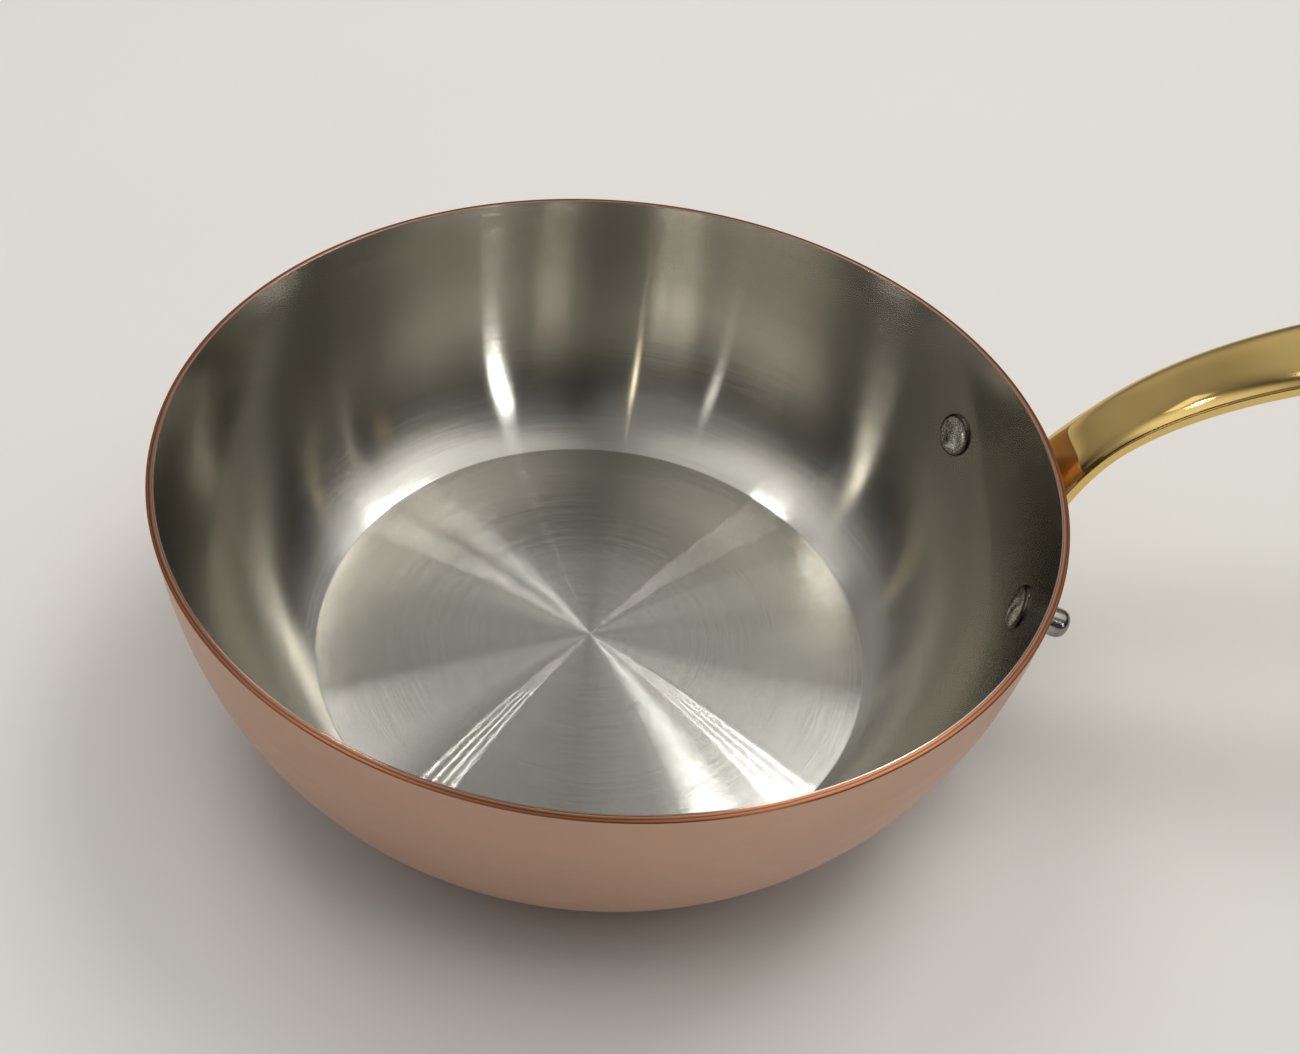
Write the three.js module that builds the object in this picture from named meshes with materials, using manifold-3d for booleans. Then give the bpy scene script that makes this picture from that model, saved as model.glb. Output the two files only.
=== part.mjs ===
// Chefs pan: a copper body with a bonded steel lining, and a cast handle held by two rivets.
// Millimetres, +Z up. The origin is the middle of the flat base, on the surface that the pan stands on.
// The handle points along +X.
import * as THREE from 'three';
import { mergeVertices } from 'three/addons/utils/BufferGeometryUtils.js';
import Module from 'manifold-3d';

const wasm = await Module();
wasm.setup();

const { degToRad, lerp, smoothstep } = THREE.MathUtils;

// Body and lining
const RIM_DIAMETER = 240;
const PAN_HEIGHT = 85;
const CORNER_WIDTH = 46; // from the end of the flat base out to the wall
const CORNER_DROP = 5; // below the rim, where the wall's curve would stand upright
const LIP_LEAN = degToRad(2); // outward lean of the short straight lip
const COPPER_THICKNESS = 1.6;
const LINING_THICKNESS = 0.4;
const BOND_GAP = 0.05; // between copper and lining

// Rivets
const RIVET_ANGLE = degToRad(17.8); // to each side of the handle, round the pan
const RIVET_DROP = 28.5; // below the rim
const RIVET_DIAMETER = 8;
const RIVET_HEAD_DIAMETER = 13.2;
const RIVET_HEAD_HEIGHT = 1.7;
const RIVET_TAIL = 7.2; // stands out of the flange
const HOLE_CLEARANCE = 0.3; // round the shank, on the radius
const SEAT_GAP = 0.05; // under a head, and between flange and body

// Handle
const FLANGE_THICKNESS = 4;
const FLANGE_MARGIN = 9; // metal round each rivet's middle
const FLANGE_BELLY = 4; // extra depth of the lower edge in the middle
const NECK_RISE = 13; // top of the flange in the middle, above the rivets
const ROOT_SLOPE = degToRad(80); // of the arm where it leaves the flange
const ROOT_PULL = 31; // how strongly the bend keeps to that slope
const BEND_REACH = 60.3; // end of the bend, out from the rim
const BEND_RISE = 31; // end of the bend, above the rim
const BEND_SLOPE = degToRad(16.5); // of the arm at the end of the bend
const BEND_PULL = 39; // how strongly the bend keeps to that slope
const GRIP_LENGTH = 140;
const GRIP_END_SLOPE = degToRad(8);
const ARM_WIDTH = 18.6; // at its narrowest, in the bend
const ROOT_FLARE = 3.5; // wider than that at the flange, to each side
const FLARE_LENGTH = 40;
const GRIP_WIDTH = 27;
const EDGE_THICKNESS = 3; // of the arm's side faces
const TOP_CROWN = 2.2; // rise of the rounded top face
const BOTTOM_CROWN = 0.8;
const HANGING_HOLE_DIAMETER = 12;

// Fineness of round shapes
const BODY_SIDES = 72;
const CORNER_STEPS = 10;
const RIVET_SIDES = 24;
const ARM_STEPS = 64;
const CURVE_STEPS = 6;
const END_ROUNDING = 0.98; // share of the grip's round end that is kept, before a blunt tip

// Worked-out sizes
const rimRadius = RIM_DIAMETER / 2;
const cornerHeight = PAN_HEIGHT - CORNER_DROP;
const wallThickness = COPPER_THICKNESS + BOND_GAP + LINING_THICKNESS;
const lipTurn = Math.atan((cornerHeight * Math.tan(LIP_LEAN)) / CORNER_WIDTH);
const lipFoot = cornerHeight * (1 - Math.sin(lipTurn));
const lipFootRadius = rimRadius - (PAN_HEIGHT - lipFoot) * Math.tan(LIP_LEAN);
const baseRadius = lipFootRadius - CORNER_WIDTH * Math.cos(lipTurn);
const rivetHeight = PAN_HEIGHT - RIVET_DROP;
const rivetWall = wallAt(rivetHeight);
const flangeOutside = SEAT_GAP + FLANGE_THICKNESS;
const spine = armSpine();
const spineLength = spine.getLength();

// A point of the elliptical corner, moved inwards. The turn is a right angle at the base.
function cornerPoint(turn, inset) {
  const inwards = new THREE.Vector2(-Math.cos(turn) / CORNER_WIDTH, Math.sin(turn) / cornerHeight);
  const radius = baseRadius + CORNER_WIDTH * Math.cos(turn);
  const height = cornerHeight * (1 - Math.sin(turn));
  return new THREE.Vector2(radius, height).addScaledVector(inwards.normalize(), inset);
}

// The outer wall at a height: its radius, and how far it leans out.
function wallAt(height) {
  if (height > lipFoot) {
    return { radius: rimRadius - (PAN_HEIGHT - height) * Math.tan(LIP_LEAN), lean: LIP_LEAN };
  }
  const turn = Math.asin(1 - height / cornerHeight);
  const lean = Math.atan((Math.tan(turn) * CORNER_WIDTH) / cornerHeight);
  return { radius: cornerPoint(turn, 0).x, lean };
}

// The body's outline at a distance in from its outer face, from the axis to the rim.
function wallOutline(inset) {
  const points = [new THREE.Vector2(0, inset)];
  for (let i = 0; i <= CORNER_STEPS; i++) {
    points.push(cornerPoint(lerp(Math.PI / 2, lipTurn, i / CORNER_STEPS), inset));
  }
  points.push(new THREE.Vector2(rimRadius - inset / Math.cos(LIP_LEAN), PAN_HEIGHT));
  return points;
}

// A closed solid from a three.js geometry, with its shared corners merged.
function solidOf(geometry) {
  geometry.deleteAttribute('normal');
  geometry.deleteAttribute('uv');
  const merged = mergeVertices(geometry);
  const corners = merged.index.array;
  const kept = [];
  for (let i = 0; i < corners.length; i += 3) {
    const [a, b, c] = corners.slice(i, i + 3);
    if (a !== b && b !== c && c !== a) {
      kept.push(a, b, c);
    }
  }
  const vertProperties = merged.attributes.position.array;
  const triVerts = new Uint32Array(kept);
  return new wasm.Manifold(new wasm.Mesh({ numProp: 3, vertProperties, triVerts }));
}

// A solid turned round the Z axis from an outline that starts and ends on it.
function turned(outline, sides) {
  return solidOf(new THREE.LatheGeometry(outline, sides).rotateX(Math.PI / 2));
}

// The body's space from the base up to the rim, at a distance in from its outer face.
function filledBody(inset) {
  return turned([...wallOutline(inset), new THREE.Vector2(0, PAN_HEIGHT)], BODY_SIDES);
}

// A layer of the wall between two distances in from the outer face.
function wallLayer(from, to) {
  return turned([...wallOutline(from), ...wallOutline(to).reverse()], BODY_SIDES);
}

// The place of a rivet: its Z axis runs outwards through the wall, from the wall's outer face.
function rivetPlace(side) {
  const round = new THREE.Matrix4().makeRotationZ(side * RIVET_ANGLE);
  const out = new THREE.Matrix4().makeTranslation(rivetWall.radius, 0, rivetHeight);
  const lean = new THREE.Matrix4().makeRotationY(Math.PI / 2 + rivetWall.lean);
  return round.multiply(out).multiply(lean);
}

// A round bar through the wall at one rivet, for its hole.
function rivetHole(side) {
  const radius = RIVET_DIAMETER / 2 + HOLE_CLEARANCE;
  const length = 4 * (wallThickness + flangeOutside);
  const bar = new THREE.CylinderGeometry(radius, radius, length, RIVET_SIDES);
  return solidOf(bar.rotateX(Math.PI / 2).applyMatrix4(rivetPlace(side)));
}

function withRivetHoles(solid) {
  return solid.subtract(rivetHole(-1)).subtract(rivetHole(1));
}

// The head's low dome, from the middle of its top to its edge, and on through the wall.
function rivetHeadOutline() {
  const radius = RIVET_HEAD_DIAMETER / 2;
  const top = -wallThickness - RIVET_HEAD_HEIGHT;
  const shoulder = -wallThickness - RIVET_HEAD_HEIGHT / 2;
  const dome = new THREE.Path().moveTo(0, top);
  dome.quadraticCurveTo(radius, top, radius, shoulder).lineTo(radius, 0).lineTo(0, 0);
  return dome.getPoints(CURVE_STEPS);
}

// The shank, from inside the head to the rounded end of the tail.
function rivetShankOutline() {
  const radius = RIVET_DIAMETER / 2;
  const start = -wallThickness - RIVET_HEAD_HEIGHT / 2;
  const end = flangeOutside + RIVET_TAIL;
  const roundFrom = end - radius;
  const shank = new THREE.Path().moveTo(0, start).lineTo(radius, start).lineTo(radius, roundFrom);
  shank.bezierCurveTo(radius, end - radius / 2, radius / 2, end, 0, end);
  return shank.getPoints(CURVE_STEPS);
}

// A rivet, its head shaped to the lining.
function rivet(side) {
  const place = rivetPlace(side);
  const [head, shank] = [rivetHeadOutline(), rivetShankOutline()].map((outline) =>
    solidOf(new THREE.LatheGeometry(outline, RIVET_SIDES).rotateX(Math.PI / 2).applyMatrix4(place)),
  );
  return head.intersect(filledBody(wallThickness + SEAT_GAP)).add(shank);
}

// The flange's outline seen along the handle: two round ears, a neck above and a belly below.
function flangeShape() {
  const earMiddle = rivetWall.radius * Math.sin(RIVET_ANGLE);
  const neck = armHalfWidth(NECK_RISE);
  const right = Math.PI / 2;
  const shape = new THREE.Shape().moveTo(earMiddle, -FLANGE_MARGIN);
  shape.absarc(earMiddle, 0, FLANGE_MARGIN, -right, right);
  shape.quadraticCurveTo(neck, FLANGE_MARGIN, neck, NECK_RISE).lineTo(-neck, NECK_RISE);
  shape.quadraticCurveTo(-neck, FLANGE_MARGIN, -earMiddle, FLANGE_MARGIN);
  shape.absarc(-earMiddle, 0, FLANGE_MARGIN, right, 3 * right);
  shape.quadraticCurveTo(0, -FLANGE_MARGIN - 2 * FLANGE_BELLY, earMiddle, -FLANGE_MARGIN);
  return shape;
}

// The flange: a plate of even thickness that follows the body's wall.
function flange() {
  const plate = wallLayer(-flangeOutside, -SEAT_GAP);
  const settings = { depth: RIM_DIAMETER, bevelEnabled: false, curveSegments: CURVE_STEPS };
  const prism = new THREE.ExtrudeGeometry(flangeShape(), settings);
  const [x, y, z] = [new THREE.Vector3(1, 0, 0), new THREE.Vector3(0, 1, 0), new THREE.Vector3(0, 0, 1)];
  prism.applyMatrix4(new THREE.Matrix4().makeBasis(y, z, x)).translate(0, 0, rivetHeight);
  return plate.intersect(solidOf(prism));
}

// The middle line of the arm in the upright plane, from the flange through the bend to the grip's end.
function armSpine() {
  const along = (angle, length) => new THREE.Vector2(Math.cos(angle), Math.sin(angle)).multiplyScalar(length);
  const root = new THREE.Vector2(rivetWall.radius + SEAT_GAP + FLANGE_THICKNESS / 2, rivetHeight);
  const rootPull = root.clone().add(along(ROOT_SLOPE, ROOT_PULL));
  const bend = new THREE.Vector2(rimRadius + BEND_REACH, PAN_HEIGHT + BEND_RISE);
  const bendPull = bend.clone().sub(along(BEND_SLOPE, BEND_PULL));
  const gripMiddle = bend.clone().add(along(BEND_SLOPE, GRIP_LENGTH / 2));
  const end = gripMiddle.clone().add(along(GRIP_END_SLOPE, GRIP_LENGTH / 2));
  const path = new THREE.CurvePath();
  path.add(new THREE.CubicBezierCurve(root, rootPull, bendPull, bend));
  path.add(new THREE.QuadraticBezierCurve(bend, gripMiddle, end));
  return path;
}

// The arm's section at a half width of 1: straight sides, a rounded top and a flatter underside.
function armSection() {
  const edge = EDGE_THICKNESS / 2;
  const section = new THREE.Shape().moveTo(-1, -edge);
  section.quadraticCurveTo(0, -edge - 2 * BOTTOM_CROWN, 1, -edge).lineTo(1, edge);
  section.quadraticCurveTo(0, edge + 2 * TOP_CROWN, -1, edge);
  return section;
}

// Half the arm's width along its spine: flared at the root, widest in the grip, round at the end.
function armHalfWidth(distance) {
  const bendLength = spineLength - GRIP_LENGTH;
  const widening = smoothstep(distance, bendLength / 4, bendLength * 1.5);
  const flare = ROOT_FLARE * (1 - smoothstep(distance, 0, FLARE_LENGTH));
  const half = lerp(ARM_WIDTH, GRIP_WIDTH, widening) / 2 + flare;
  const intoEnd = Math.max(0, 1 - (spineLength - distance) / half);
  return half * Math.sqrt(1 - (END_ROUNDING * intoEnd) ** 2);
}

// The arm: its section carried along the spine, with closer steps near both ends.
function arm() {
  const settings = { depth: 1, steps: ARM_STEPS, bevelEnabled: false, curveSegments: CURVE_STEPS };
  const bar = new THREE.ExtrudeGeometry(armSection(), settings);
  const position = bar.attributes.position;
  for (let i = 0; i < position.count; i++) {
    const share = (1 - Math.cos(Math.PI * position.getZ(i))) / 2;
    const middle = spine.getPointAt(share);
    const ahead = spine.getTangentAt(share);
    const across = position.getX(i) * armHalfWidth(share * spineLength);
    const up = position.getY(i);
    position.setXYZ(i, middle.x - ahead.y * up, across, middle.y + ahead.x * up);
  }
  return solidOf(bar);
}

// A round bar through the grip near its end, for hanging the pan up.
function hangingHole() {
  const share = 1 - GRIP_WIDTH / 2 / spineLength;
  const middle = spine.getPointAt(share);
  const ahead = spine.getTangentAt(share);
  const radius = HANGING_HOLE_DIAMETER / 2;
  const bar = new THREE.CylinderGeometry(radius, radius, GRIP_WIDTH, RIVET_SIDES);
  bar.rotateX(Math.PI / 2).rotateY(-ahead.angle()).translate(middle.x, 0, middle.y);
  return solidOf(bar);
}

function handle() {
  const casting = flange().add(arm()).subtract(filledBody(-SEAT_GAP));
  return withRivetHoles(casting).subtract(hangingHole());
}

function copperBody() {
  return withRivetHoles(wallLayer(0, COPPER_THICKNESS));
}

function steelLining() {
  return withRivetHoles(wallLayer(COPPER_THICKNESS + BOND_GAP, wallThickness));
}

// A named mesh of a solid, in one metal.
function piece(name, solid, color, roughness) {
  const { vertProperties, triVerts } = solid.getMesh();
  const geometry = new THREE.BufferGeometry();
  geometry.setAttribute('position', new THREE.BufferAttribute(vertProperties, 3));
  geometry.setIndex(new THREE.BufferAttribute(triVerts, 1));
  geometry.computeVertexNormals();
  const mesh = new THREE.Mesh(geometry, new THREE.MeshStandardMaterial({ color, roughness, metalness: 1 }));
  mesh.name = name;
  return mesh;
}

const pan = new THREE.Group();
pan.add(piece('copper_body', copperBody(), 0xc98c68, 0.35));
pan.add(piece('steel_lining', steelLining(), 0x9c9c95, 0.3));
pan.add(piece('handle', handle(), 0xb8964f, 0.15));
pan.add(piece('rivet_left', rivet(1), 0x8f8f88, 0.25));
pan.add(piece('rivet_right', rivet(-1), 0x8f8f88, 0.25));

export default pan;
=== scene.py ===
"""Looks of a chefs pan: a copper body with a bonded steel lining, and a gold-coloured handle on two rivets.

In metres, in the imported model's frame: +Z up, the handle along +X, the origin under the base's middle.
"""
from math import asin, atan, cos, pi, radians, sin, sqrt, tan

import bmesh
import bpy
from mathutils import Matrix, Vector, noise


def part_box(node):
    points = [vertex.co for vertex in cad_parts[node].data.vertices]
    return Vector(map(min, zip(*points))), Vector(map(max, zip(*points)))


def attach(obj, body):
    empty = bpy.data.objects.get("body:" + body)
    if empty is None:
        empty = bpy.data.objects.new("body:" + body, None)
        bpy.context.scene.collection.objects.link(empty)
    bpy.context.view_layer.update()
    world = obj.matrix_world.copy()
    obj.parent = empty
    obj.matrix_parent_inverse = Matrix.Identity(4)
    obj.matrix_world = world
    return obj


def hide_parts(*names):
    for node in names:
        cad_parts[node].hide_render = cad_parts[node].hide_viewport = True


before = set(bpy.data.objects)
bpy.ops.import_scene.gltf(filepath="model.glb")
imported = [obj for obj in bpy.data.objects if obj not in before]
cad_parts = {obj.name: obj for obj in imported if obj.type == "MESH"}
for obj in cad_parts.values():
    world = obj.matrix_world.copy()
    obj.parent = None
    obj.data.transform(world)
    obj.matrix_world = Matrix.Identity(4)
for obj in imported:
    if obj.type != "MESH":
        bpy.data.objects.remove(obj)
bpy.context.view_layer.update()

# Sizes of the body, the same as in the CAD model
MM = 0.001
RIM_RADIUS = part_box("copper_body")[1].x
PAN_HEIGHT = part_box("copper_body")[1].z
CORNER_WIDTH = 46 * MM
CORNER_HEIGHT = PAN_HEIGHT - 5 * MM
LIP_LEAN = radians(2)
COPPER_THICKNESS = 1.6 * MM
LINING_THICKNESS = 0.4 * MM
BOND_GAP = 0.05 * MM
WALL_THICKNESS = COPPER_THICKNESS + BOND_GAP + LINING_THICKNESS
LIP_TURN = atan(CORNER_HEIGHT * tan(LIP_LEAN) / CORNER_WIDTH)
LIP_FOOT = CORNER_HEIGHT * (1 - sin(LIP_TURN))
BASE_RADIUS = RIM_RADIUS - (PAN_HEIGHT - LIP_FOOT) * tan(LIP_LEAN) - CORNER_WIDTH * cos(LIP_TURN)

# The lining's finish ring and the rim's eased edges, which are modelled only here
RING_RADIUS = 85 * MM  # where the base's coarser finish ends
RING_STEP = 0.03 * MM
RING_WIDTH = 0.6 * MM
COPPER_ROUNDS = (0.5 * MM, 0.1 * MM)  # at the outer and inner edges of the rim
LINING_ROUNDS = (0.05 * MM, 0.12 * MM)

# Sizes of the rivets
RIVET_ANGLE = radians(17.8)
RIVET_HEIGHT = PAN_HEIGHT - 28.5 * MM
RIVET_RADIUS = 4 * MM
RIVET_TAIL = 7.2 * MM
HEAD_RADIUS = 6.6 * MM
HEAD_HEIGHT = 1.7 * MM
HOLE_CLEARANCE = 0.1 * MM
SEAT_GAP = 0.05 * MM
HEAD_FACE = 0.84  # share of the head's radius that the low face takes
HEAD_DOME = 0.5 * MM
HEAD_FULLNESS = 0.8  # under 1 is fuller than an ellipse
TAIL_FULLNESS = 0.6
TAIL_ROUND = 0.7 * RIVET_RADIUS
DENT_DEPTH = 0.4 * MM
DENTS_PER_METRE = 330
DENT_FADE = (0.6 * HEAD_RADIUS, 0.95 * HEAD_RADIUS)
# Painted shade: the rivet head's round edge is painted dark, and so is the tail, whose darker tone is
# partly its own and partly painted shade
EDGE_SHADE_FADE = (0.78 * HEAD_RADIUS, 0.92 * HEAD_RADIUS)
TAIL_TONE_AND_SHADE = 0.75
SHADE_MARK_NAME = "shade_mark"  # name of the mark that the rivets' material reads

# Sizes of the handle, whose crown is lower and flatter here than in the CAD model
FLANGE_THICKNESS = 4 * MM
FLANGE_MARGIN = 9 * MM
FLANGE_BELLY = 4 * MM
FLANGE_ROUND = 1.3 * MM
NECK_RISE = 13 * MM
ROOT_SLOPE = radians(80)
ROOT_PULL = 31 * MM
BEND_END = Vector((RIM_RADIUS + 60.3 * MM, PAN_HEIGHT + 31 * MM))
BEND_SLOPE = radians(16.5)
BEND_PULL = 39 * MM
GRIP_LENGTH = 140 * MM
GRIP_END_SLOPE = radians(8)
ARM_WIDTH = 18.6 * MM
ROOT_FLARE = 3.5 * MM
FLARE_LENGTH = 40 * MM
GRIP_WIDTH = 27 * MM
EDGE_THICKNESS = 3 * MM
TOP_CROWN = 1.5 * MM
BOTTOM_CROWN = 0.8 * MM
CROWN_POWER = 5
EDGE_ROUND = 0.5 * MM
HANGING_HOLE_RADIUS = 6 * MM
END_TIP = 0.02  # share of the half width that is left at the round end

# Fineness of round shapes
BODY_SIDES = 360
RIVET_SIDES = 64
CORNER_STEPS = 64
BASE_STEPS = 24
ARM_STEPS = 150
CURVE_STEPS = 14
ROUND_STEPS = 5
SHARP_ANGLE = radians(38)
ON_AXIS = 1e-7  # a smaller radius is a tip


def lerp(start, end, share):
    return start + (end - start) * share


def smoothstep(value, low, high):
    share = min(1, max(0, (value - low) / (high - low)))
    return share * share * (3 - 2 * share)


# Mesh helpers
def new_object(name, bm):
    """An object of a finished bmesh, shaded smooth except at sharp edges."""
    mesh = bpy.data.meshes.new(name)
    bmesh.ops.recalc_face_normals(bm, faces=bm.faces)
    bm.to_mesh(mesh)
    bm.free()
    made = bpy.data.objects.new(name, mesh)
    bpy.context.scene.collection.objects.link(made)
    shade(made)
    return made


def shade(made):
    made.data.shade_smooth()
    made.data.set_sharp_from_angle(angle=SHARP_ANGLE)


def join_rings(bm, rings):
    """Faces between neighbouring rings of vertices; a ring of one vertex is a tip."""
    sides = max(len(ring) for ring in rings)
    for lower, upper in zip(rings, rings[1:]):
        for i in range(sides):
            places = ((lower, i), (lower, i + 1), (upper, i + 1), (upper, i))
            corners = [ring[place % len(ring)] for ring, place in places]
            bm.faces.new(list(dict.fromkeys(corners)))


def turned(name, outline, sides, place=Matrix()):
    """A closed solid turned round its Z axis from an outline that starts and ends on it."""
    bm = bmesh.new()
    rings = []
    for radius, height in outline:
        count = sides if radius > ON_AXIS else 1
        angles = [2 * pi * i / sides for i in range(count)]
        points = [Vector((radius * cos(a), radius * sin(a), height)) for a in angles]
        rings.append([bm.verts.new(place @ point) for point in points])
    join_rings(bm, rings)
    return new_object(name, bm)


def rounded(before, corner, after, radius):
    """A corner of an outline eased into a small curve."""
    start = corner + (before - corner).normalized() * radius
    end = corner + (after - corner).normalized() * radius
    shares = [i / ROUND_STEPS for i in range(ROUND_STEPS + 1)]
    return [lerp(lerp(start, corner, s), lerp(corner, end, s), s) for s in shares]


def combine(target, tool, operation):
    """Join or cut a solid with another one, which is used up."""
    modifier = target.modifiers.new("combine", "BOOLEAN")
    modifier.object = tool
    modifier.operation = operation
    modifier.solver = "EXACT"
    graph = bpy.context.evaluated_depsgraph_get()
    mesh = bpy.data.meshes.new_from_object(target.evaluated_get(graph))
    target.modifiers.clear()
    target.data = mesh
    bpy.data.objects.remove(tool)
    shade(target)


# Body and lining
def corner_point(turn, inset):
    """A point of the elliptical corner, moved inwards. The turn is a right angle at the base."""
    inwards = Vector((-cos(turn) / CORNER_WIDTH, sin(turn) / CORNER_HEIGHT)).normalized()
    on_curve = Vector((BASE_RADIUS + CORNER_WIDTH * cos(turn), CORNER_HEIGHT * (1 - sin(turn))))
    return on_curve + inset * inwards


def corner_turns():
    """Turns from the base up to the lip, with close ones across the finish ring."""
    even = [lerp(pi / 2, LIP_TURN, i / CORNER_STEPS) for i in range(CORNER_STEPS + 1)]
    ring = asin(sqrt(1 - ((RING_RADIUS - BASE_RADIUS) / CORNER_WIDTH) ** 2))
    close = [ring + RING_WIDTH / CORNER_WIDTH * (i / ROUND_STEPS - 1) for i in range(2 * ROUND_STEPS + 1)]
    return sorted(even + close, reverse=True)


def rim_point(inset):
    return Vector((RIM_RADIUS - inset / cos(LIP_LEAN), PAN_HEIGHT))


def face_outline(inset_at):
    """One face of the wall from the axis to the lip's foot; the inset may change with the radius."""
    flat = [Vector((BASE_RADIUS * i / BASE_STEPS, inset_at(0))) for i in range(BASE_STEPS)]
    curved = []
    for turn in corner_turns():
        radius = corner_point(turn, WALL_THICKNESS).x
        curved.append(corner_point(turn, inset_at(radius)))
    return flat + curved


def layer_outline(outer, inner_at, rounds):
    """A layer of the wall: its outer face, the rim's cut edge and its inner face."""
    outside = face_outline(lambda radius: outer)
    inside = face_outline(inner_at)
    outer_rim = rim_point(outer)
    inner_rim = rim_point(inner_at(RIM_RADIUS))
    outer_edge = rounded(outside[-1], outer_rim, inner_rim, rounds[0])
    inner_edge = rounded(outer_rim, inner_rim, inside[-1], rounds[1])
    return outside + outer_edge + inner_edge + inside[::-1]


def lining_inset(radius):
    """How deep the lining's inner face lies: the base is dressed a little lower than the wall."""
    return WALL_THICKNESS - RING_STEP * (1 - smoothstep(radius, RING_RADIUS - RING_WIDTH, RING_RADIUS))


def copper_shell():
    outline = layer_outline(0, lambda radius: COPPER_THICKNESS, COPPER_ROUNDS)
    return with_rivet_holes(turned("copper_shell", outline, BODY_SIDES))


def steel_inside():
    outline = layer_outline(COPPER_THICKNESS + BOND_GAP, lining_inset, LINING_ROUNDS)
    return with_rivet_holes(turned("steel_inside", outline, BODY_SIDES))


def body_space(inset):
    """The body's space from the base up to the rim."""
    outline = face_outline(lambda radius: inset) + [rim_point(inset), Vector((0, PAN_HEIGHT))]
    return turned("body_space", outline, BODY_SIDES)


# Rivets
def wall_at(height):
    """The outer wall's radius and lean at a height below the lip."""
    turn = asin(1 - height / CORNER_HEIGHT)
    return corner_point(turn, 0).x, atan(tan(turn) * CORNER_WIDTH / CORNER_HEIGHT)


RIVET_WALL, RIVET_LEAN = wall_at(RIVET_HEIGHT)


def rivet_place(side):
    """The place of a rivet: its Z axis runs outwards from the wall's outer face."""
    out = Matrix.Translation((RIVET_WALL, 0, RIVET_HEIGHT)) @ Matrix.Rotation(pi / 2 + RIVET_LEAN, 4, "Y")
    return Matrix.Rotation(side * RIVET_ANGLE, 4, "Z") @ out


def with_rivet_holes(made):
    radius = RIVET_RADIUS + HOLE_CLEARANCE
    reach = 4 * (WALL_THICKNESS + FLANGE_THICKNESS)
    outline = [Vector(p) for p in ((0, -reach), (radius, -reach), (radius, reach), (0, reach))]
    for side in (-1, 1):
        combine(made, turned("hole", outline, RIVET_SIDES, rivet_place(side)), "DIFFERENCE")
    return made


def rivet_outline():
    """From the middle of the head's low face, round its edge, through the wall to the blunt tail."""
    seat = -WALL_THICKNESS - SEAT_GAP
    top = -WALL_THICKNESS - HEAD_HEIGHT
    face = HEAD_RADIUS * HEAD_FACE
    end = SEAT_GAP + FLANGE_THICKNESS + RIVET_TAIL
    shares = [i / CURVE_STEPS for i in range(CURVE_STEPS + 1)]
    points = [Vector((face * s, top + HEAD_DOME * s ** 2)) for s in shares[:-1]]
    for turn in [pi / 2 * s for s in shares]:
        height = lerp(seat, top + HEAD_DOME, cos(turn) ** HEAD_FULLNESS)
        points.append(Vector((lerp(face, HEAD_RADIUS, sin(turn)), height)))
    points.append(Vector((RIVET_RADIUS, seat)))
    for turn in [pi / 2 * s for s in shares]:
        radius = RIVET_RADIUS * cos(turn) ** TAIL_FULLNESS
        points.append(Vector((radius, end - TAIL_ROUND * (1 - sin(turn)))))
    points[-1].x = 0
    return points


def dented(made, place):
    """Dents from the setting tool on the head's low face; its round edge and the tail marked for painted
    shade.
    """
    back = place.inverted()
    shade_mark = made.data.attributes.new(SHADE_MARK_NAME, "FLOAT", "POINT")
    for vertex, mark in zip(made.data.vertices, shade_mark.data):
        local = back @ vertex.co
        # Painted shade on the head's round edge
        mark.value = smoothstep(local.xy.length, *EDGE_SHADE_FADE)
        # The tail: partly its own darker tone, partly painted shade
        if local.z > -WALL_THICKNESS:
            mark.value = TAIL_TONE_AND_SHADE
        on_face = 1 - smoothstep(local.xy.length, *DENT_FADE)
        if local.z < -WALL_THICKNESS - HEAD_HEIGHT / 2:
            local.z += DENT_DEPTH * on_face * noise.noise(vertex.co * DENTS_PER_METRE)
            vertex.co = place @ local


def seated(made, place):
    """The head's underside eased clear of the round wall."""
    back = place.inverted()
    for vertex in made.data.vertices:
        local = back @ vertex.co
        sag = local.y ** 2 / (2 * RIVET_WALL)
        if local.z < -WALL_THICKNESS + SEAT_GAP and local.xy.length > RIVET_RADIUS + HOLE_CLEARANCE:
            local.z = min(local.z, -WALL_THICKNESS - SEAT_GAP - sag)
            vertex.co = place @ local


def rivet(name, side):
    place = rivet_place(side)
    made = turned(name, rivet_outline(), RIVET_SIDES, place)
    dented(made, place)
    seated(made, place)
    return made


# Handle
def along(angle, length):
    return Vector((cos(angle), sin(angle))) * length


def bezier(points, share):
    while len(points) > 1:
        points = [lerp(a, b, share) for a, b in zip(points, points[1:])]
    return points[0]


def arm_spine():
    """Points and directions of the arm's middle line, with the distance run at each."""
    root = Vector((RIVET_WALL + SEAT_GAP + FLANGE_THICKNESS / 2, RIVET_HEIGHT))
    bend = [root, root + along(ROOT_SLOPE, ROOT_PULL), BEND_END - along(BEND_SLOPE, BEND_PULL), BEND_END]
    middle = BEND_END + along(BEND_SLOPE, GRIP_LENGTH / 2)
    grip = [BEND_END, middle, middle + along(GRIP_END_SLOPE, GRIP_LENGTH / 2)]
    shares = [i / ARM_STEPS for i in range(ARM_STEPS + 1)]
    points = [bezier(bend, s) for s in shares] + [bezier(grip, sin(s * pi / 2)) for s in shares[1:]]
    ahead = [(b - a).normalized() for a, b in zip(points, points[1:])]
    ahead = [ahead[0]] + [(a + b).normalized() for a, b in zip(ahead, ahead[1:])] + [ahead[-1]]
    run = [0]
    for a, b in zip(points, points[1:]):
        run.append(run[-1] + (b - a).length)
    return list(zip(points, ahead, run))


SPINE = arm_spine()
SPINE_LENGTH = SPINE[-1][2]


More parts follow.
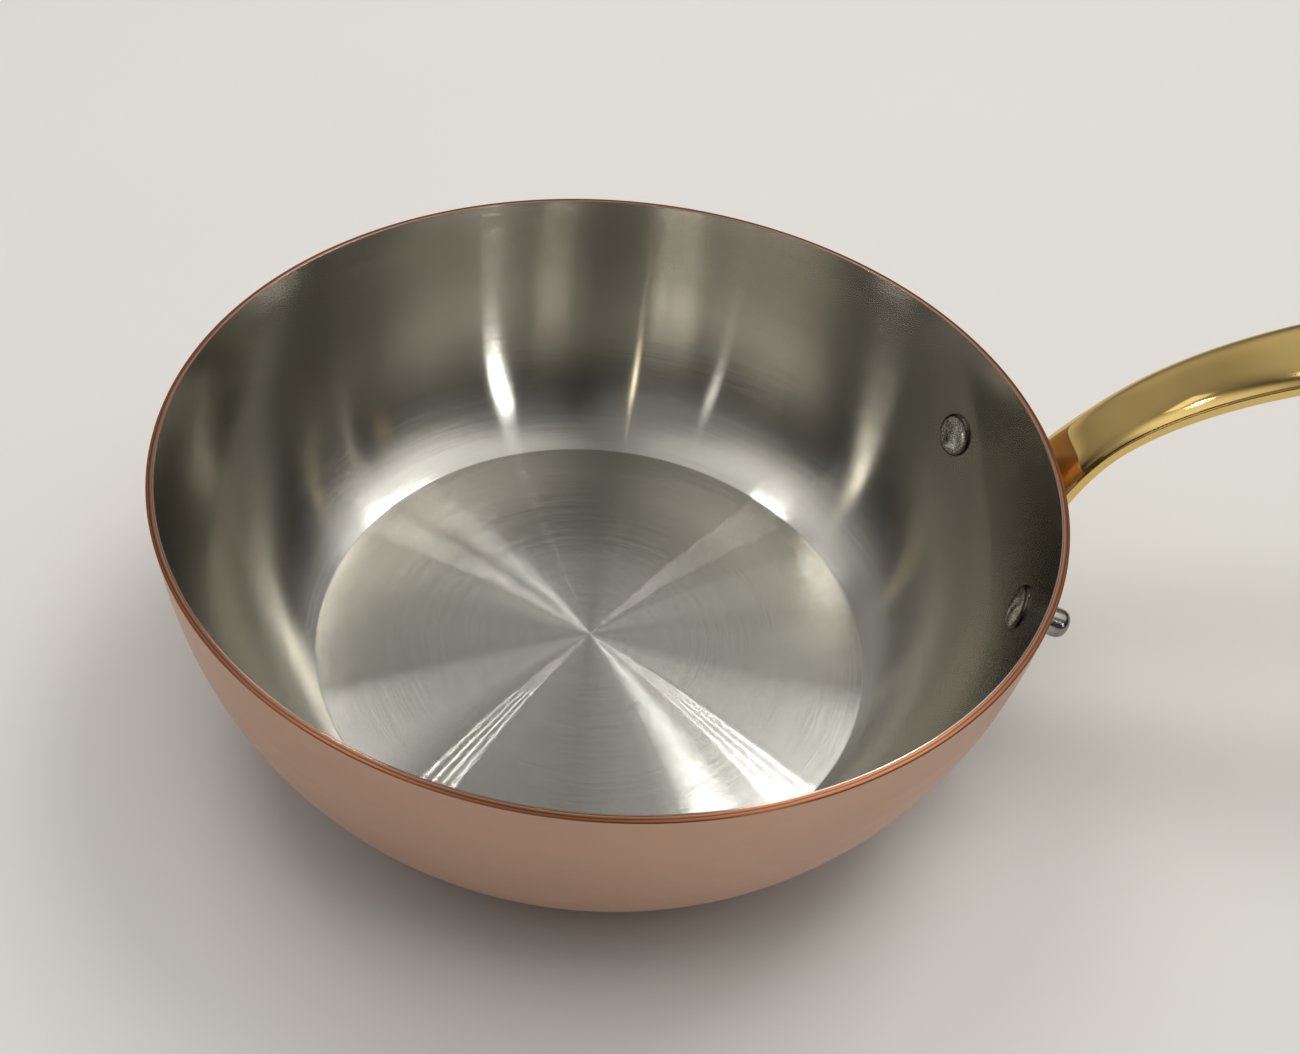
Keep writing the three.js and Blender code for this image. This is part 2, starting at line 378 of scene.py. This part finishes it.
def arm_half_width(distance):
    """Half the arm's width: flared at the root, widest in the grip, round at the end."""
    bend_length = SPINE_LENGTH - GRIP_LENGTH
    widening = smoothstep(distance, bend_length / 4, bend_length * 1.5)
    flare = ROOT_FLARE * (1 - smoothstep(distance, 0, FLARE_LENGTH))
    half = lerp(ARM_WIDTH, GRIP_WIDTH, widening) / 2 + flare
    into_end = max(0, 1 - (SPINE_LENGTH - distance) / half)
    return half * sqrt(max(END_TIP ** 2, 1 - into_end ** 2))


def arm_section(half):
    """The arm's section: flat sides with eased edges, a rounded top and a flatter underside."""
    edge = EDGE_THICKNESS / 2
    ease = min(EDGE_ROUND, half / 3)
    shares = [cos(pi * i / (2 * CURVE_STEPS)) for i in range(2 * CURVE_STEPS + 1)]
    inner = 1 - ease / half

    def face(crown, sign):
        span = [inner * s for s in shares]
        return [Vector((half * s, sign * (edge + crown * (1 - abs(s) ** CROWN_POWER)))) for s in span]

    top = face(TOP_CROWN * half / (half + ease), 1)
    bottom = face(BOTTOM_CROWN * half / (half + ease), -1)[::-1]
    corners = [Vector((x * half, z * edge)) for x, z in ((1, 1), (-1, 1), (-1, -1), (1, -1))]
    neighbours = zip(corners[-1:] + corners, corners, corners[1:] + corners)
    top_right, top_left, low_left, low_right = [rounded(*three, ease) for three in neighbours]
    return top_right[:-1] + top + top_left[1:] + low_left[:-1] + bottom + low_right[1:]


def arm():
    """The arm: its section carried along the middle line."""
    bm = bmesh.new()
    rings = []
    for middle, ahead, distance in SPINE:
        ring = []
        for across, up in arm_section(arm_half_width(distance)):
            ring.append(bm.verts.new((middle.x - ahead.y * up, across, middle.y + ahead.x * up)))
        rings.append(ring)
    join_rings(bm, rings)
    bm.faces.new(rings[0])
    bm.faces.new(rings[-1])
    return new_object("handle_casting", bm)


def flange_outline():
    """The flange seen along the handle: two round ears, a neck above and a belly below."""
    ear = RIVET_WALL * sin(RIVET_ANGLE)
    neck = arm_half_width(NECK_RISE)
    shares = [i / CURVE_STEPS for i in range(CURVE_STEPS)]
    margin = FLANGE_MARGIN
    right_ear = [Vector((ear, 0)) + along(pi * (s - 0.5), margin) for s in shares]
    left_ear = [Vector((-ear, 0)) + along(pi * (s + 0.5), margin) for s in shares]
    shoulder = [Vector((ear, margin)), Vector((neck, margin)), Vector((neck, NECK_RISE))]
    right_neck = [bezier(shoulder, s) for s in shares]
    left_neck = [Vector((-p.x, p.y)) for p in [bezier(shoulder, 1 - s) for s in shares]]
    top = [Vector((lerp(neck, -neck, s), NECK_RISE)) for s in shares]
    belly = [Vector((-ear, -margin)), Vector((0, -margin - 2 * FLANGE_BELLY)), Vector((ear, -margin))]
    return right_ear + right_neck + top + left_neck + left_ear + [bezier(belly, s) for s in shares]


def on_wall(point, outset):
    """A point of the flange, given across and up from the rivets, on the wall at a distance outside it."""
    height = RIVET_HEIGHT + point.y
    turn = asin(min(1, 1 - height / CORNER_HEIGHT))
    radius, height = corner_point(turn, -outset)
    return Vector((sqrt(radius ** 2 - point.x ** 2), point.x, height))


def flange():
    """The flange: a plate that follows the wall, with a rounded outer edge."""
    outline = flange_outline()
    outside = SEAT_GAP + FLANGE_THICKNESS
    levels = [(i / CURVE_STEPS, 0, outside) for i in range(CURVE_STEPS)]
    for i in range(ROUND_STEPS + 1):
        turn = pi / 2 * i / ROUND_STEPS
        levels.append((1, FLANGE_ROUND * (1 - sin(turn)), outside - FLANGE_ROUND * (1 - cos(turn))))
    levels += [(1 - i / CURVE_STEPS, 0, SEAT_GAP) for i in range(CURVE_STEPS + 1)]
    bm = bmesh.new()
    rings = []
    for share, inset, outset in levels:
        reach = FLANGE_ROUND if inset == 0 and outset == outside else inset
        ring_points = outline if share > 0 else outline[:1]
        places = [share * (p - p.normalized() * reach) for p in ring_points]
        rings.append([bm.verts.new(on_wall(p, outset)) for p in places])
    join_rings(bm, rings)
    return new_object("flange", bm)


def hanging_hole():
    """The bar that cuts the hole, with a wider mouth at both faces of the grip."""
    start = SPINE_LENGTH - GRIP_WIDTH / 2
    middle, ahead = next(station[:2] for station in SPINE if station[2] > start)
    upright = Vector((-ahead.y, 0, ahead.x))
    turn = upright.to_track_quat("Z", "Y").to_matrix().to_4x4()
    place = Matrix.Translation((middle.x, 0, middle.y)) @ turn
    radius = HANGING_HOLE_RADIUS
    flare = radius + 2 * EDGE_ROUND
    below = EDGE_THICKNESS
    above = 1.5 * EDGE_THICKNESS
    bore = [(radius, -EDGE_THICKNESS / 2), (radius, EDGE_THICKNESS)]
    bar = [(0, -below), (flare, -below)] + bore + [(flare, above), (0, above)]
    return turned("hole", [Vector(p) for p in bar], RIVET_SIDES, place)


def handle_casting():
    made = arm()
    combine(made, flange(), "UNION")
    combine(made, body_space(-SEAT_GAP), "DIFFERENCE")
    combine(made, hanging_hole(), "DIFFERENCE")
    return with_rivet_holes(made)


# Node helpers
def plug(tree, socket, value):
    """Set a socket to a number or colour, or link it to another socket."""
    if isinstance(value, bpy.types.NodeSocket):
        tree.links.new(value, socket)
    else:
        socket.default_value = value


def plug_named(tree, node, **values):
    """Fill a node's sockets by name, with underscores for spaces."""
    for name, value in values.items():
        plug(tree, node.inputs[name.replace("_", " ")], value)


def add_node(tree, kind, *values, **settings):
    """A node with its first sockets filled in order; gives back its first output."""
    made = tree.nodes.new("ShaderNode" + kind)
    for name, value in settings.items():
        setattr(made, name, value)
    for socket, value in zip(made.inputs, values):
        plug(tree, socket, value)
    return made.outputs[0]


def number_math(tree, operation, *values):
    return add_node(tree, "Math", *values, operation=operation)


def vector_math(tree, operation, *values):
    output = add_node(tree, "VectorMath", *values, operation=operation)
    return output.node.outputs["Value"] if operation in ("LENGTH", "DOT_PRODUCT") else output


def scaled(tree, vector, amount):
    output = vector_math(tree, "SCALE", vector)
    plug_named(tree, output.node, Scale=amount)
    return output


def ranged(tree, value, low, high, new_low=0.0, new_high=1.0):
    return add_node(tree, "MapRange", value, low, high, new_low, new_high)


def varied(tree, value, pattern, amount):
    """A value moved up and down by a pattern that runs from 0 to 1."""
    from_middle = number_math(tree, "SUBTRACT", pattern, 0.5)
    return number_math(tree, "MULTIPLY_ADD", from_middle, amount, value)


def blend(tree, share, first, second):
    """A colour between two others."""
    made = tree.nodes.new("ShaderNodeMix")
    made.data_type = "RGBA"
    for name, value in (("Factor_Float", share), ("A_Color", first), ("B_Color", second)):
        plug(tree, next(s for s in made.inputs if s.identifier == name), value)
    return next(s for s in made.outputs if s.identifier == "Result_Color")


def ramp(tree, value, stops):
    """A colour that runs through stops, each a place from 0 to 1 and a colour."""
    colour = add_node(tree, "ValToRGB", value)
    elements = colour.node.color_ramp.elements
    while len(elements) < len(stops):
        elements.new(0.5)
    for element, (place, shade_there) in zip(elements, stops):
        element.position = place
        element.color = shade_there
    return colour


def place_in(tree):
    return tree.nodes.new("ShaderNodeTexCoord").outputs["Object"]


def noise_value(tree, where, scale, detail=2.0):
    made = tree.nodes.new("ShaderNodeTexNoise")
    plug_named(tree, made, Vector=where, Scale=scale, Detail=detail)
    return made.outputs[0]


def bumped(tree, height, strength, depth):
    """A normal with small bumps."""
    made = tree.nodes.new("ShaderNodeBump")
    plug_named(tree, made, Strength=strength, Distance=depth, Height=height)
    return made.outputs[0]


def new_material(name, **constants):
    """A material with its constant values set; gives back the material, its nodes and its shader."""
    material = bpy.data.materials.new(name)
    material.use_nodes = True
    tree = material.node_tree
    shader = tree.nodes["Principled BSDF"]
    plug_named(tree, shader, **constants)
    return material, tree, shader


def around_axis(tree):
    """The offset from the pan's axis, its length, a distance that grows up the wall, and the height."""
    where = place_in(tree)
    level = vector_math(tree, "MULTIPLY", where, (1, 1, 0))
    radius = vector_math(tree, "LENGTH", level)
    height = add_node(tree, "SeparateXYZ", where).node.outputs["Z"]
    return level, radius, number_math(tree, "ADD", radius, height), height


def circle_grain(tree, level, run, arcs, lines):
    """Noise drawn out into circles: few changes round the pan, many lines per metre across them."""
    round_pan = scaled(tree, vector_math(tree, "NORMALIZE", level), arcs)
    across = add_node(tree, "CombineXYZ", 0.0, 0.0, number_math(tree, "MULTIPLY", run, lines))
    return noise_value(tree, vector_math(tree, "ADD", round_pan, across), scale=1.0)


def face_normal(tree):
    return tree.nodes.new("ShaderNodeNewGeometry").outputs["Normal"]


def levelled(tree, normal, share):
    """A normal that stands upright where the share is 0 and is left as it is where the share is 1."""
    upright = add_node(tree, "CombineXYZ", 0.0, 0.0, number_math(tree, "SUBTRACT", 1.0, share))
    return vector_math(tree, "NORMALIZE", vector_math(tree, "ADD", scaled(tree, normal, share), upright))


def grooved(tree, normal, slope):
    """A normal tipped across the brushed lines by a slope, and the direction of the lines."""
    tangent = add_node(tree, "Tangent", direction_type="RADIAL", axis="Z")
    tip = scaled(tree, vector_math(tree, "CROSS_PRODUCT", tangent, normal), slope)
    return vector_math(tree, "NORMALIZE", vector_math(tree, "ADD", normal, tip)), tangent


# Colours of the metals, as pairs from darker to paler places, or as stops across a cut edge
BASE_STEEL = ((0.56, 0.547, 0.50, 1), (0.59, 0.577, 0.527, 1))
WALL_STEEL = ((0.577, 0.554, 0.487, 1), (0.607, 0.584, 0.513, 1))
STEEL_EDGE = (0.50, 0.37, 0.32, 1)
COPPER = ((0.53, 0.335, 0.243, 1), (0.605, 0.392, 0.293, 1))
COPPER_EDGE = (
    (0.0, (0.62, 0.34, 0.21, 1)),
    (0.22, (0.45, 0.20, 0.10, 1)),
    (0.45, (0.13, 0.05, 0.028, 1)),
    (0.60, (0.40, 0.16, 0.075, 1)),
    (0.85, (0.30, 0.13, 0.065, 1)),
    (1.0, (0.12, 0.05, 0.03, 1)),
)
GOLD = ((0.72, 0.50, 0.17, 1), (0.80, 0.58, 0.225, 1))
RIVET_BRIGHT = ((0.66, 0.655, 0.62, 1), (0.92, 0.915, 0.88, 1))
# Painted shade for the rivets' round head edges and tails; on the tail it is partly the tail's own darker
# tone
RIVET_PAINTED_SHADE = (0.10, 0.09, 0.07, 1)

# Where the metals change, and the handle's pits
CORNER_ZONE = 22 * MM  # from the finish ring outwards, until the lining's wall finish is reached
STEEL_EDGE_FOOT = PAN_HEIGHT - 0.25 * MM
STEEL_EDGE_TOP = PAN_HEIGHT - 0.05 * MM
COPPER_EDGE_FOOT = PAN_HEIGHT - 0.4 * MM
COPPER_EDGE_TOP = PAN_HEIGHT - 0.1 * MM
PIT_DEPTH = 0.02  # share of the polishing waves' depth


# Materials
def by_zone(tree, zones, base, corner, wall):
    """A value with one level on the lining's base, one past the finish ring and one up the wall."""
    past_ring, up_wall = zones
    at_corner = ranged(tree, past_ring, 0.0, 1.0, base, corner)
    return number_math(tree, "MULTIPLY_ADD", up_wall, wall - corner, at_corner)


def brushed_slope(tree, level, run, zones):
    """How far the lining's brushed lines tip its normal: most a little, the deepest ones far."""
    fine = circle_grain(tree, level, run, arcs=1.5, lines=220000.0)
    clear = circle_grain(tree, level, run, arcs=3.0, lines=2400.0)
    scratch = number_math(tree, "SUBTRACT", fine, 0.5)
    squared = number_math(tree, "MULTIPLY", scratch, scratch)
    shallow = by_zone(tree, zones, base=0.7, corner=0.6, wall=0.16)
    deepest = by_zone(tree, zones, base=120.0, corner=60.0, wall=30.0)
    steepness = number_math(tree, "MULTIPLY_ADD", squared, deepest, shallow)
    clear_depth = by_zone(tree, zones, base=0.008, corner=0.05, wall=0.11)
    return varied(tree, number_math(tree, "MULTIPLY", scratch, steepness), clear, clear_depth)


def lining_steel():
    """Stainless steel brushed in circles, deeper on the base, which is shaded as level up to its ring."""
    material, tree, shader = new_material(
        "lining_steel", Metallic=1.0, Anisotropic=1.0, Anisotropic_Rotation=0.25
    )
    level, radius, run, height = around_axis(tree)
    past_ring = ranged(tree, radius, RING_RADIUS - RING_WIDTH, RING_RADIUS)
    up_wall = ranged(tree, radius, RING_RADIUS, RING_RADIUS + CORNER_ZONE)
    zones = (past_ring, up_wall)
    slope = brushed_slope(tree, level, run, zones)
    normal, tangent = grooved(tree, levelled(tree, face_normal(tree), past_ring), slope)
    broad = circle_grain(tree, level, run, arcs=2.0, lines=700.0)
    smudge = noise_value(tree, place_in(tree), scale=28.0, detail=3.0)
    finish = by_zone(tree, zones, base=0.064, corner=0.13, wall=0.13)
    for marks in (broad, smudge):
        finish = varied(tree, finish, marks, amount=0.004)
    tint = blend(tree, up_wall, blend(tree, broad, *BASE_STEEL), blend(tree, broad, *WALL_STEEL))
    tint = blend(tree, ranged(tree, height, STEEL_EDGE_FOOT, STEEL_EDGE_TOP), tint, STEEL_EDGE)
    plug_named(tree, shader, Base_Color=tint, Roughness=finish, Normal=normal, Tangent=tangent)
    return material


def copper():
    """Satin copper spun in circles, with a darker, lined cut edge at the rim."""
    material, tree, shader = new_material(
        "copper", Metallic=1.0, Anisotropic=0.75, Anisotropic_Rotation=0.25
    )
    level, radius, run, height = around_axis(tree)
    fine = circle_grain(tree, level, run, arcs=3.0, lines=3600.0)
    broad = circle_grain(tree, level, run, arcs=2.0, lines=260.0)
    patina = noise_value(tree, place_in(tree), scale=22.0, detail=4.0)
    normal, tangent = grooved(tree, face_normal(tree), varied(tree, 0.0, fine, amount=0.25))
    across = ranged(tree, radius, RIM_RADIUS - COPPER_THICKNESS, RIM_RADIUS)
    edge = ramp(tree, varied(tree, across, patina, amount=0.5), COPPER_EDGE)
    on_edge = ranged(tree, height, COPPER_EDGE_FOOT, COPPER_EDGE_TOP)
    tint = blend(tree, on_edge, blend(tree, patina, *COPPER), edge)
    rough = varied(tree, 0.36, broad, amount=0.12)
    plug_named(tree, shader, Base_Color=tint, Roughness=rough, Normal=normal, Tangent=tangent)
    return material


def gold_brass():
    """Polished gold-coloured casting with slight waves left by the polishing wheel."""
    material, tree, shader = new_material("gold_brass", Metallic=1.0)
    where = place_in(tree)
    waves = noise_value(tree, where, scale=90.0, detail=1.0)
    pits = noise_value(tree, where, scale=1400.0)
    haze = noise_value(tree, where, scale=60.0, detail=3.0)
    rough = ranged(tree, haze, 0.3, 0.7, new_low=0.07, new_high=0.15)
    height = number_math(tree, "MULTIPLY_ADD", pits, PIT_DEPTH, waves)
    normal = bumped(tree, height, strength=0.25, depth=0.3 * MM)
    plug_named(tree, shader, Base_Color=blend(tree, haze, *GOLD), Roughness=rough, Normal=normal)
    return material


def rivet_steel():
    """Bright steel with hammer marks and a few scuffs, with painted shade on the head's round edge and,
    with its own darker tone, on the tail.
    """
    material, tree, shader = new_material("rivet_steel", Metallic=1.0)
    where = place_in(tree)
    marks = noise_value(tree, where, scale=700.0)
    scuffs = noise_value(tree, where, scale=2600.0)
    shade_mark = tree.nodes.new("ShaderNodeAttribute")
    shade_mark.attribute_name = SHADE_MARK_NAME
    # Painted shade where the mark is set
    tint = blend(tree, shade_mark.outputs["Fac"], blend(tree, marks, *RIVET_BRIGHT), RIVET_PAINTED_SHADE)
    rough = ranged(tree, scuffs, 0.3, 0.7, new_low=0.12, new_high=0.30)
    normal = bumped(tree, marks, strength=0.3, depth=0.2 * MM)
    plug_named(tree, shader, Base_Color=tint, Roughness=rough, Normal=normal)
    return material


def dress(made, node, material):
    """Put a finished piece in place of its CAD node."""
    made.data.materials.clear()
    made.data.materials.append(material)
    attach(made, "root")
    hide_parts(node)


def build_pan():
    dress(copper_shell(), "copper_body", copper())
    dress(steel_inside(), "steel_lining", lining_steel())
    dress(handle_casting(), "handle", gold_brass())
    bright = rivet_steel()
    dress(rivet("rivet_left_set", 1), "rivet_left", bright)
    dress(rivet("rivet_right_set", -1), "rivet_right", bright)


# Floor and screen
FLOOR_RADIUS = 5.0
FLOOR_SIDES = 96
FLOOR_DROP = 0.02 * MM  # keeps the floor just below the base
FLOOR_COLOUR = (0.80, 0.79, 0.76)
CARD_RADIUS = 1.3
CARD_FOOT = 0.01
CARD_HEIGHT = 0.8
CARD_START = radians(185)
CARD_END = radians(355)
CARD_STEPS = 48
CARD_COLOUR = (0.03, 0.03, 0.027)
CLOUD_SHADE = 0.96  # the darkest share of a paper's colour


def paper(name, colour):
    """A matt surface with a slight cloudiness."""
    material, tree, shader = new_material(name, Roughness=0.8)
    cloud = noise_value(tree, place_in(tree), scale=3.0, detail=3.0)
    darker = [CLOUD_SHADE * c for c in colour]
    plug_named(tree, shader, Base_Color=blend(tree, cloud, (*darker, 1), (*colour, 1)))
    return material


def floor():
    """A wide round sheet under the pan."""
    bm = bmesh.new()
    bmesh.ops.create_circle(bm, cap_ends=True, segments=FLOOR_SIDES, radius=FLOOR_RADIUS)
    made = new_object("floor", bm)
    made.location.z = -FLOOR_DROP
    made.data.materials.append(paper("floor_paper", FLOOR_COLOUR))


def dark_card():
    """A dark screen round the camera's side of the table, which shapes the metal's reflections."""
    bm = bmesh.new()
    angles = [lerp(CARD_START, CARD_END, i / CARD_STEPS) for i in range(CARD_STEPS + 1)]
    places = [(CARD_RADIUS * cos(a), CARD_RADIUS * sin(a)) for a in angles]
    lower = [bm.verts.new((x, y, CARD_FOOT)) for x, y in places]
    upper = [bm.verts.new((x, y, CARD_HEIGHT)) for x, y in places]
    for i in range(CARD_STEPS):
        bm.faces.new((lower[i], lower[i + 1], upper[i + 1], upper[i]))
    made = new_object("dark_card", bm)
    made.visible_camera = False
    made.data.materials.append(paper("dark_paper", CARD_COLOUR))


# Lamps, with azimuths and elevations in degrees
WHITE = (1, 1, 1)
LAMP_DISTANCE = 1.25
KEYS = (  # name, azimuth, elevation and radiance
    ("left_key", 122, 60, 3.1),
    ("right_key", 40, 60, 5.8),
    ("top_key", -90, 85, 3.5),
)
KEY_SIZE = (1.0, 0.9)
KEY_COLOUR = (1, 0.985, 0.95)
KEY_DISTANCE = 2.6
TUBES = 4  # in each fitting
TUBE_SIZE = (0.20, 0.004)
FITTINGS = (  # name, azimuth, lowest elevation, step from tube to tube, radiance and tilt
    ("left_tube", 132, 65.2, 1.2, 60.0, 10),
    ("right_tube", 45, 56.5, 1.0, 42.0, -2),
)
STREAK_LAMPS = (  # name, azimuth, elevation, size, radiance and colour
    ("right_glow", 52, 61, (0.26, 0.22), 3.0, WHITE),
    ("right_low_glow", 53, 52.5, (0.28, 0.13), 1.3, WHITE),
    ("left_glow", 118, 56, (0.34, 0.16), 1.0, WHITE),
    ("right_box", 60, 62, (0.10, 0.06), 14.0, WHITE),
    ("front_right", -57.3, 28, (0.09, 0.56), 8.0, WHITE),
    ("front_warm", -103, 28, (0.011, 0.56), 7.0, (1, 0.9, 0.66)),
    ("front_left", -129, 24, (0.05, 0.40), 1.7, WHITE),
)


def towards(azimuth, elevation):
    """A direction from the pan, given in degrees."""
    turn = radians(azimuth)
    rise = radians(elevation)
    return Vector((cos(rise) * cos(turn), cos(rise) * sin(turn), sin(rise)))


def lamp(name, azimuth, elevation, size, radiance, colour=WHITE, distance=LAMP_DISTANCE, tilt=0):
    """A rectangular lamp that faces the pan; the tilt turns it in its own plane, in degrees."""
    data = bpy.data.lights.new(name, "AREA")
    data.shape = "RECTANGLE"
    data.size, data.size_y = size
    data.energy = radiance * pi * size[0] * size[1]
    data.color = colour
    made = bpy.data.objects.new(name, data)
    direction = towards(azimuth, elevation)
    made.location = direction * distance
    level = direction.to_track_quat("Z", "Y").to_matrix()
    made.rotation_euler = (level @ Matrix.Rotation(radians(tilt), 3, "Z")).to_euler()
    made.visible_camera = False
    bpy.context.scene.collection.objects.link(made)
    return made


def floor_light():
    """Lamps above and behind the pan that light the floor and throw the soft shadow in front."""
    for name, azimuth, elevation, radiance in KEYS:
        key = lamp(name, azimuth, elevation, KEY_SIZE, radiance, KEY_COLOUR, KEY_DISTANCE)
        key.visible_glossy = False


def streak_light():
    """Two fittings of thin tubes, and smaller lamps, which draw the streaks on the brushed steel."""
    made = []
    for i in range(TUBES):
        for name, azimuth, lowest, step, radiance, tilt in FITTINGS:
            elevation = lowest + step * i
            made.append(lamp(f"{name}_{i}", azimuth, elevation, TUBE_SIZE, radiance, tilt=tilt))
    made += [lamp(*values) for values in STREAK_LAMPS]
    for streak in made:
        streak.visible_diffuse = False


# World
WORLD_COLOUR = (1, 0.99, 0.965, 1)
HORIZON = 0.5  # strength at the horizon
HORIZON_TOP = 0.06  # rise of a direction up to which it is full
ROOM = 0.015  # strength of the dark room above
ROOM_START = 0.20  # rise of a direction from which it is all room
SOFT_LIGHT_EDGE = radians(32)
SOFT_LIGHT_CORE = radians(6)
SOFT_LIGHTS = (  # azimuth and elevation in degrees, and strength
    (0, 45, 0.45), (0, 62, 0.85), (55, 45, 0.36), (90, 45, 0.15), (90, 22, 0.20), (120, 36, 0.12),
    (135, 22, 0.25), (180, 45, 0.33), (180, 62, 0.72), (-125, 45, 0.24), (-45, 45, 0.10), (-90, 78, 0.20),
)


def world_light():
    """A pale horizon that the floor runs into, and broad soft lights in a dark room above it."""
    world = bpy.data.worlds.new("studio")
    bpy.context.scene.world = world
    world.use_nodes = True
    tree = world.node_tree
    direction = tree.nodes.new("ShaderNodeTexCoord").outputs["Generated"]
    rise = add_node(tree, "SeparateXYZ", direction).node.outputs["Z"]
    level = ranged(tree, rise, HORIZON_TOP, ROOM_START, HORIZON, ROOM)
    for azimuth, elevation, strength in SOFT_LIGHTS:
        aim = vector_math(tree, "DOT_PRODUCT", direction, towards(azimuth, elevation))
        glow = ranged(tree, aim, cos(SOFT_LIGHT_EDGE), cos(SOFT_LIGHT_CORE), 0.0, strength)
        glow.node.interpolation_type = "SMOOTHSTEP"
        level = number_math(tree, "ADD", level, glow)
    plug_named(tree, tree.nodes["Background"], Color=WORLD_COLOUR, Strength=level)


# Camera as fitted to the photograph, whose pixels measure its focal length and middle
PHOTO_WIDTH = 1300
PHOTO_HEIGHT = 1054
FOCAL_LENGTH = 1261.2
MIDDLE_X = 553.2
MIDDLE_Y = 533.6
CAMERA_PLACE = (-0.02776, -0.2567, 0.30403)
CAMERA_AHEAD = Vector((0.0396, 0.7052, -0.7079)).normalized()
CAMERA_RIGHT = Vector((0.999, -0.0148, 0.0411))
CLIP_START = 0.01


def photo_camera():
    """A camera with the photograph's pose, focal length and off-centre framing."""
    right = (CAMERA_RIGHT - CAMERA_AHEAD * CAMERA_RIGHT.dot(CAMERA_AHEAD)).normalized()
    up = right.cross(CAMERA_AHEAD)
    data = bpy.data.cameras.new("camera")
    data.sensor_fit = "HORIZONTAL"
    data.lens = data.sensor_width * FOCAL_LENGTH / PHOTO_WIDTH
    data.shift_x = (PHOTO_WIDTH / 2 - MIDDLE_X) / PHOTO_WIDTH
    data.shift_y = (MIDDLE_Y - PHOTO_HEIGHT / 2) / PHOTO_WIDTH
    data.clip_start = CLIP_START
    made = bpy.data.objects.new("camera", data)
    turn = Matrix((right, up, -CAMERA_AHEAD)).transposed().to_4x4()
    made.matrix_world = Matrix.Translation(CAMERA_PLACE) @ turn
    bpy.context.scene.collection.objects.link(made)
    bpy.context.scene.camera = made


photo_camera()
build_pan()
floor()
dark_card()
floor_light()
streak_light()
world_light()
bpy.context.scene.view_settings.view_transform = "Standard"
bpy.context.view_layer.update()
